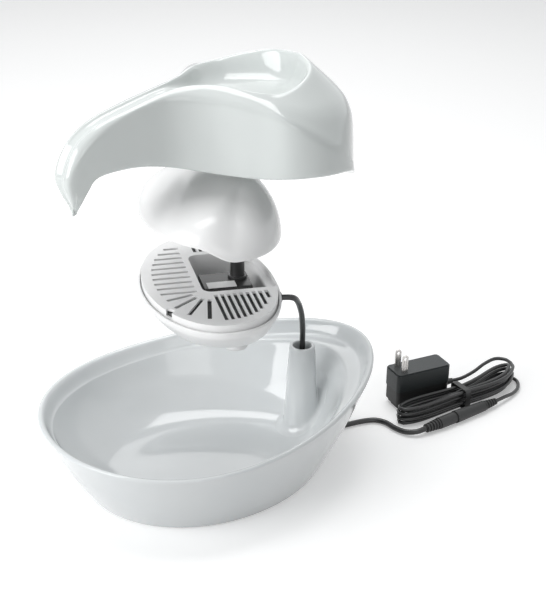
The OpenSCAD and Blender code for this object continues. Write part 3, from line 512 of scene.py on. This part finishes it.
def swept(a, b, c, shares):
    return [bezier(lerp(b, a, 0.5), b, lerp(b, c, 0.5), u) for u in shares]


def inset_to(p, q, t):
    d = Vector((q.x - p.x, q.y - p.y, 0))
    return p + d.normalized() * min(t, 0.6 * d.length)


def top_section(s):
    f0, b, m, r, e = (along(row, s) for row in TOP_ROWS)
    side = lerp(f0, b, 0.75)
    f = Vector((side.x, side.y, lerp(f0, b, 0.12).z))
    down = Vector((0, 0, -1))
    if s < BEAK_STATIONS:
        down = lerp(Vector((e.x, 0, e.z)) - f0, Vector((0, 0, -20)), s / BEAK_STATIONS).normalized()
    e2 = inset_to(e, f0, TOP_WALL)
    r2 = inset_to(r, f0, TOP_WALL) + 0.5 * TOP_WALL * down
    m2 = lerp(m, f0, 0.12) + 1.1 * TOP_WALL * down
    f2 = f + 1.1 * TOP_WALL * down
    below = Vector((0, 0, -0.3))
    quarter = (0, 0.25, 0.5, 0.75, 1)
    return ([f0] + swept(f0, f, b, (0, 0.2, 0.4, 0.6, 0.8)) + rounded(f, b, m, BASIN_ROUND, quarter)
            + swept(b, m, r, (0.2, 0.4, 0.6, 0.8)) + rounded(m, r, e, RIDGE_ROUND, quarter)
            + [lerp(r, e, 0.3), lerp(r, e, 0.55), lerp(r, e, 0.8), lerp(e, r, 0.05)]
            + [lerp(e, e2, 0.2) + below, lerp(e, e2, 0.8) + below]
            + [lerp(e2, r2, 0.05), lerp(e2, r2, 0.5)] + swept(e2, r2, m2, (0.2, 0.5, 0.8))
            + [m2, f2, f0 + 1.1 * TOP_WALL * down])


def top_bmesh():
    lift = Vector((0, 0, SEAT + TOP_LIFT))
    count = TOP_SLICES * (len(FLOOR_LINE) - 1)
    lines = []
    for i in range(count + 1):
        near = [Vector((p.x, -p.y, p.z)) + lift for p in top_section(i / TOP_SLICES)]
        near[0].y = near[-1].y = 0
        if i in (0, count):
            near = [Vector((p.x, 0, p.z)) for p in near]
        lines.append(near)
    bm = stack_up(lines, closed=False)[0]
    bmesh.ops.mirror(bm, geom=bm.verts[:] + bm.edges[:] + bm.faces[:], axis="Y", merge_dist=1e-6)
    bmesh.ops.remove_doubles(bm, verts=bm.verts, dist=2e-6)
    bmesh.ops.recalc_face_normals(bm, faces=bm.faces)
    return bm


top = finish_piece("leaf_top", top_bmesh(), "top_cover", top_glaze, ["top_cover"])
subdivide(top, 1)
carve(top, rod(WATER_HOLE_R, (*OUTLET, SEAT + TOP_LIFT + 60), (*OUTLET, SEAT + TOP_LIFT + 100)))


# ---- pump unit, drawn in the tray's own frame, level with its rim ----
def in_tray(x, y, z):
    return (TRAY_AT.x + x * cosd(TRAY_TURN) - y * sind(TRAY_TURN),
            TRAY_AT.y + x * sind(TRAY_TURN) + y * cosd(TRAY_TURN), TRAY_AT.z + z)


def oval(t, a, b, inset):
    n = 2 / 2.3 if cosd(t) > 0 else 1
    return Vector(((a - inset) * power(cosd(t), n), (b - inset) * power(sind(t), n), 0))


def tray_plan(t, inset):
    return Vector((TRAY_SHIFT, 0, 0)) + oval(t, TRAY_LENGTH, TRAY_WIDTH, inset)


def flat_plan(t, inset):
    return Vector((FLAT_X, 0, 0)) + oval(t, FLAT_LENGTH, FLAT_WIDTH, inset)


def cover_plan(t, inset):
    return Vector((TRAY_SHIFT, 0, 0)) + oval(t, TRAY_LENGTH - 1, TRAY_WIDTH - 8, inset)


TRAY_TURNS = turns(112)


def tray_rings():
    def ring(plan, z):
        return [in_tray(*(plan(t) + Vector((0, 0, z)))) for t in TRAY_TURNS]

    rings = [ring(lambda t: flat_plan(t, 2), -TRAY_DEPTH),
             ring(lambda t: flat_plan(t, 0.6), -TRAY_DEPTH + 0.2),
             ring(lambda t: flat_plan(t, 0), -TRAY_DEPTH + 1)]
    rings += [ring(lambda t, u=u: lerp(flat_plan(t, 0), tray_plan(t, 2.5), 0.6 * u), -TRAY_DEPTH + 15 * u)
              for u in (0.5, 1)]
    rings += [ring(lambda t: lerp(flat_plan(t, 0), tray_plan(t, 3.2), 0.84), -17.5),
              ring(lambda t: tray_plan(t, 3.5), -TRAY_WALL_H - 1.7),
              ring(lambda t: tray_plan(t, 2.4), -TRAY_WALL_H - 0.4),
              ring(lambda t: tray_plan(t, 1.2), -TRAY_WALL_H + 1), ring(lambda t: tray_plan(t, 0.4), -3.5)]
    rings += [ring(lambda t, i=i: tray_plan(t, i), z) for i, z in (
        (0, -1), (0.2, -0.35), (0.8, 0), (TRAY_WALL - 0.8, 0), (TRAY_WALL - 0.2, -0.35), (TRAY_WALL, -1),
        (TRAY_WALL, SHELF_Z + 0.8), (TRAY_WALL + 0.8, SHELF_Z), (SHELF_W - 0.8, SHELF_Z),
        (SHELF_W, SHELF_Z - 0.8))]
    rings += [ring(lambda t, u=u: lerp(tray_plan(t, SHELF_W), flat_plan(t, 1), u),
                   lerp(SHELF_Z, -TRAY_DEPTH + TRAY_WALL, w))
              for u, w in ((0.2, 0.3), (0.4, 0.6), (0.75, 0.85), (1, 1))]
    return rings


tray = finish_piece("pump_tray_shell", loft(tray_rings(), in_tray(FLAT_X, 0, -TRAY_DEPTH),
                                            in_tray(FLAT_X, 0, -TRAY_DEPTH + TRAY_WALL)),
                    "pump_unit", tray_white, ["pump_tray"])
subdivide(tray, 1)
GLAND_X, GLAND_Y, GLAND_Z = TRAY_SHIFT + TRAY_LENGTH, -8, -14
GLAND_HOLE_R = 4.5
carve(tray, rod(GLAND_HOLE_R, in_tray(GLAND_X - 12, GLAND_Y, GLAND_Z),
                in_tray(GLAND_X + 18, GLAND_Y, GLAND_Z)))


def cover_ring(a, inset):
    ring = []
    for t in TRAY_TURNS:
        rim = cover_plan(t, inset)
        share = cosd(a) ** COVER_FALL
        u = min(max((6 - cover_plan(t, 0).x) / 30, 0), 1)
        foot = COVER_GAP * u * u * (3 - 2 * u) * cosd(a) ** 2
        p = lerp(COVER_APEX, rim, share)
        ring.append(in_tray(p.x, p.y, COVER_BASE + foot + (COVER_HEIGHT - inset) * sind(a)))
    return ring


def cover_rings():
    angles = (86, 80, 72, 63, 54, 45, 36, 28, 20, 13, 7, 3)
    rings = [cover_ring(a, COVER_WALL) for a in angles]
    rings += [cover_ring(0.6, COVER_WALL), cover_ring(0, COVER_WALL - 0.6)]
    rings += [cover_ring(0, 0.6), cover_ring(0.6, 0)] + [cover_ring(a, 0) for a in angles[::-1]]
    return rings


apex = COVER_APEX.x, COVER_APEX.y
cover_bm = loft(cover_rings(), in_tray(*apex, COVER_BASE + COVER_HEIGHT - COVER_WALL),
                in_tray(*apex, COVER_BASE + COVER_HEIGHT))
cover = finish_piece("pump_cover_dome", cover_bm, "pump_cover", cover_white, ["pump_cover"])
subdivide(cover, 1)
COVER_HOLE_R = 7.5
carve(cover, rod(COVER_HOLE_R, (*OUTLET, TRAY_AT.z + COVER_BASE + 20),
                 (*OUTLET, TRAY_AT.z + COVER_BASE + 60)))


# ---- CAD nodes that keep their shape: softened edges and their finish ----
def dress(node, material, edge_mm, angle=30, segments=2):
    """Welds a CAD node's loose triangles, rounds its sharp edges and gives it a finish."""
    piece = nodes[node]
    piece.data.materials.clear()
    piece.data.materials.append(material)
    if "custom_normal" in piece.data.attributes:
        piece.data.attributes.remove(piece.data.attributes["custom_normal"])
    piece.data.polygons.foreach_set("use_smooth", [True] * len(piece.data.polygons))
    weld = piece.modifiers.new("weld", "WELD")
    weld.merge_threshold = 2e-6
    bevel = piece.modifiers.new("bevel", "BEVEL")
    bevel.width, bevel.segments = edge_mm * MM, segments
    bevel.limit_method, bevel.angle_limit = "ANGLE", math.radians(angle)
    bevel.harden_normals = True
    bevel.use_clamp_overlap = True


for node, material, edge in (
        ("filter_grille", grille_white, 0.35), ("carbon_filter", filter_fibre, 0.6),
        ("suction_cup", cup_rubber, 0.4), ("cord_gland", gland_rubber, 0.4), ("pump_body", pump_black, 0.8),
        ("pump_front_cover", pump_black, 0.4), ("flow_slider", slider_grey, 0.2),
        ("pump_o_ring", gland_rubber, 0.05), ("impeller", rotor_white, 0.15),
        ("rotor_magnet", magnet_dark, 0.3),
        ("impeller_shaft", shaft_white, 0.2), ("shaft_bushes", gland_rubber, 0.15),
        ("outlet_tube", tube_black, 0.3), ("pump_label", label_white, 0.1),
        ("inline_plug", connector_black, 0.5), ("plug_relief", connector_black, 0.3),
        ("inline_socket", connector_black, 0.5), ("socket_relief", connector_black, 0.3),
        ("plug_barrel", nickel, 0.2), ("cord_tie", connector_black, 0.2),
        ("supply_case_top", case_charcoal, 1.0), ("supply_case_bottom", case_black, 0.8),
        ("supply_relief", connector_black, 0.4), ("plug_blades", nickel, 0.25)):
    dress(node, material, edge)


# ---- cords: the points are the middle of the cord, in metres; the cable's and the hank's in millimetres ----
def turned(x, y, z, turn):
    return Vector((x * cosd(turn) - y * sind(turn), x * sind(turn) + y * cosd(turn), z))


gland_end = Vector(in_tray(GLAND_X + 3.6, GLAND_Y, GLAND_Z)) * MM
RISER = [(0.062, -0.028, 0.162), (0.072, -0.021, 0.152), (0.082, -0.012, 0.135), (0.089, -0.004, 0.116),
         (0.092, 0, 0.104), (0.092, 0, 0.0924)]
LEAD = [(0.092, 0, 0.092), (0.092, 0, 0.060), (0.092, 0, 0.030), (0.092, 0, 0.017), (0.0936, -0.0002, 0.009),
        (0.0985, -0.0009, 0.0046), (0.106, -0.002, 0.0032), (0.124, -0.0045, 0.0032), (0.140, -0.0065, 0.003),
        (0.155, -0.0086, 0.003), (0.167, -0.013, 0.003), (0.173, -0.022, 0.003), (0.1745, -0.034, 0.003),
        (0.178, -0.045, 0.0036), (0.1855, -0.052, 0.005), (0.195, -0.053, 0.006)]
CABLE = [(36, -6, -11), (39, -6, -11.2), (42.5, -7.2, -12.6), (46, -8, -13.8), (50, -8, -14), (56, -8, -14),
         (GLAND_X + 3.6, -8, -14)]
CONNECTOR, CONNECTOR_TURN, CONNECTOR_LENGTH = Vector((0.195, -0.053, 0.006)), 4, 0.088
TAIL = [(0.296, -0.044, 0.0052), (0.310, -0.040, 0.0034), (0.322, -0.033, 0.0027), (0.3294, -0.023, 0.00265)]
CASE_EXIT = Vector((0.226, 0.0015, 0)) + turned(0.0395, 0, 0.012, -6)
CASE_CORD = [(0.276, -0.004, 0.0124), (0.292, -0.002, 0.0139), (0.308, 0.002, 0.016), (0.322, 0.003, 0.0172),
             (0.3294, -0.0035, 0.0174)]
HANK_AT, HANK_HALF, HANK_BASE, HANK_LAYERS = Vector((256, -27)), 68, 0.95, 4
PITCH, LAYER_TURNS, CLIMB_TURNS = 2 * SUPPLY_R + 1.5, 1.125, 0.5


def hank_point(u):
    period = LAYER_TURNS + CLIMB_TURNS
    layer = min(int(u / period), HANK_LAYERS - 1)
    phase = u - layer * period
    wound = min(phase / LAYER_TURNS, 1)
    level = LAYER_TURNS * (1 - wound if layer % 2 == 0 else wound)
    climb = layer + max(phase - LAYER_TURNS, 0) / CLIMB_TURNS

    def core(t):
        c, s = cosd(t), sind(t)
        lobe = 2.4 + (11 if c > 0 else 6) * abs(c) ** 1.5 * (1 - abs(c) ** 6)
        return Vector((HANK_HALF * c, -lobe * (-s) ** 0.5 if s < 0 else lobe * s ** 0.5))

    t = 360 * u
    d = (core(t + 1) - core(t - 1)).normalized()
    p = core(t) + Vector((d.y, -d.x)) * PITCH * level
    return Vector((HANK_AT.x + p.x, HANK_AT.y + p.y + 13 * (max(p.x, 0) / HANK_HALF) ** 2,
                   HANK_BASE + SUPPLY_R + PITCH * climb)) * MM


def cord_curve(name, points, radius, body, cad):
    data = bpy.data.curves.new(name, "CURVE")
    data.dimensions, data.bevel_depth, data.bevel_resolution = "3D", radius, 5
    data.use_fill_caps = True
    line = data.splines.new("POLY")
    line.points.add(len(points) - 1)
    for spot, p in zip(line.points, points):
        spot.co = (*p, 1)
    line.use_smooth = True
    piece = bpy.data.objects.new(name, data)
    bpy.context.scene.collection.objects.link(piece)
    piece.data.materials.append(cord_black)
    if body:
        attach(piece, body)
    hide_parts(*cad)
    return piece


def route_length(points):
    return sum((b - a).length for a, b in zip(points, points[1:]))


def as_mesh(piece):
    """A mesh copy of a curve piece, which takes its name and place."""
    graph = bpy.context.evaluated_depsgraph_get()
    mesh = bpy.data.meshes.new_from_object(piece.evaluated_get(graph))
    mesh.polygons.foreach_set("use_smooth", [True] * len(mesh.polygons))
    name = piece.name
    bpy.data.objects.remove(piece)
    made = bpy.data.objects.new(name, mesh)
    bpy.context.scene.collection.objects.link(made)
    return made


riser_path = smooth_route([gland_end] + RISER, 8)
riser = as_mesh(cord_curve("riser_lead", riser_path, LEAD_R * MM, None, ["riser_cord"]))
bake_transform(riser)
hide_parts("riser_cord")
route_length(riser_path)

cord_curve("pump_lead", [p * MM for p in smooth_route([in_tray(*p) for p in CABLE], 6)],
           LEAD_R * MM, "pump_unit", ["pump_cable"])

lead_path = smooth_route(LEAD, 8)
lead = cord_curve("low_voltage_lead", lead_path, LEAD_R * MM, "bowl", ["lead_in_bowl", "lead_free"])
route_length(lead_path)

socket_end = CONNECTOR + turned(CONNECTOR_LENGTH, 0, 0, CONNECTOR_TURN)
HANK_SAMPLES, HANK_TURNS = 48, 6
hank_path = [hank_point(i / HANK_SAMPLES) for i in range(HANK_SAMPLES * HANK_TURNS + 1)]
tail_path = smooth_route([socket_end] + TAIL + [hank_path[0]], 8)
case_path = smooth_route([CASE_EXIT] + CASE_CORD + [hank_path[-1]], 8)
supply_path = tail_path[:-1] + hank_path + case_path[-2::-1]
supply = cord_curve("supply_cord", supply_path, SUPPLY_R * MM, "bowl",
                    ["supply_tail", "supply_hank", "case_tail"])
route_length(supply_path)


# ---- floor and light ----
def seen_rays(tree):
    """1 for rays from the camera, off a gloss or through glass, 0 for the light that falls on things."""
    path = tree.nodes.new("ShaderNodeLightPath")
    total = path.outputs["Is Camera Ray"]
    for name in ("Is Glossy Ray", "Is Transmission Ray"):
        add = tree.nodes.new("ShaderNodeMath")
        add.use_clamp = True
        tree.links.new(total, add.inputs[0])
        tree.links.new(path.outputs[name], add.inputs[1])
        total = add.outputs[0]
    return total


FLOOR_HALF, FLOOR_WHITE, FLOOR_GLOW = 4, 0.86, 0.3
SKY_LIGHT, SKY_SEEN = 0.34, 1.08

floor_bm = bmesh.new()
bmesh.ops.create_grid(floor_bm, x_segments=1, y_segments=1, size=FLOOR_HALF)
floor_finish = Finish("studio_floor", 0.9)
floor_finish.set(**{"Base Color": (FLOOR_WHITE, FLOOR_WHITE, FLOOR_WHITE, 1)})
floor = finish_piece("studio_floor", floor_bm, None, floor_finish.material)
tree = floor_finish.tree
ray = Value(floor_finish, seen_rays(tree))
glow = floor_finish.node("ShaderNodeEmission", {}, {"Color": (1, 1, 1, 1), "Strength": ray * FLOOR_GLOW})
both = tree.nodes.new("ShaderNodeAddShader")
tree.links.new(floor_finish.shader.outputs[0], both.inputs[0])
tree.links.new(glow.socket, both.inputs[1])
tree.links.new(both.outputs[0], tree.nodes["Material Output"].inputs["Surface"])

world = bpy.data.worlds.new("studio")
world.use_nodes = True
bpy.context.scene.world = world
sky = world.node_tree
background = sky.nodes["Background"]
background.inputs["Color"].default_value = (0.93, 0.95, 0.96, 1)
level = sky.nodes.new("ShaderNodeMapRange")
level.inputs["To Min"].default_value = SKY_LIGHT
level.inputs["To Max"].default_value = SKY_SEEN
sky.links.new(seen_rays(sky), level.inputs["Value"])
sky.links.new(level.outputs[0], background.inputs["Strength"])


def soft_light(name, at, aim, size, watts, colour=(1, 1, 1)):
    data = bpy.data.lights.new(name, "AREA")
    data.shape, data.size, data.size_y = "RECTANGLE", size[0], size[1]
    data.energy, data.color = watts, colour
    lamp = bpy.data.objects.new(name, data)
    lamp.location = at
    lamp.rotation_euler = (Vector(at) - Vector(aim)).to_track_quat("Z", "Y").to_euler()
    bpy.context.scene.collection.objects.link(lamp)


middle = (0.0, 0.0, 0.15)
soft_light("left_window", (-1.5, 0.0, 0.75), middle, (1.1, 1.1), 18)
soft_light("front_fill", (-0.3, -1.5, 0.6), middle, (0.8, 0.6), 2)
soft_light("overhead", (0.1, 0.3, 1.5), middle, (1.1, 0.8), 11)
soft_light("rear_window", (0.7, 1.1, 0.9), middle, (0.6, 0.7), 1.5)
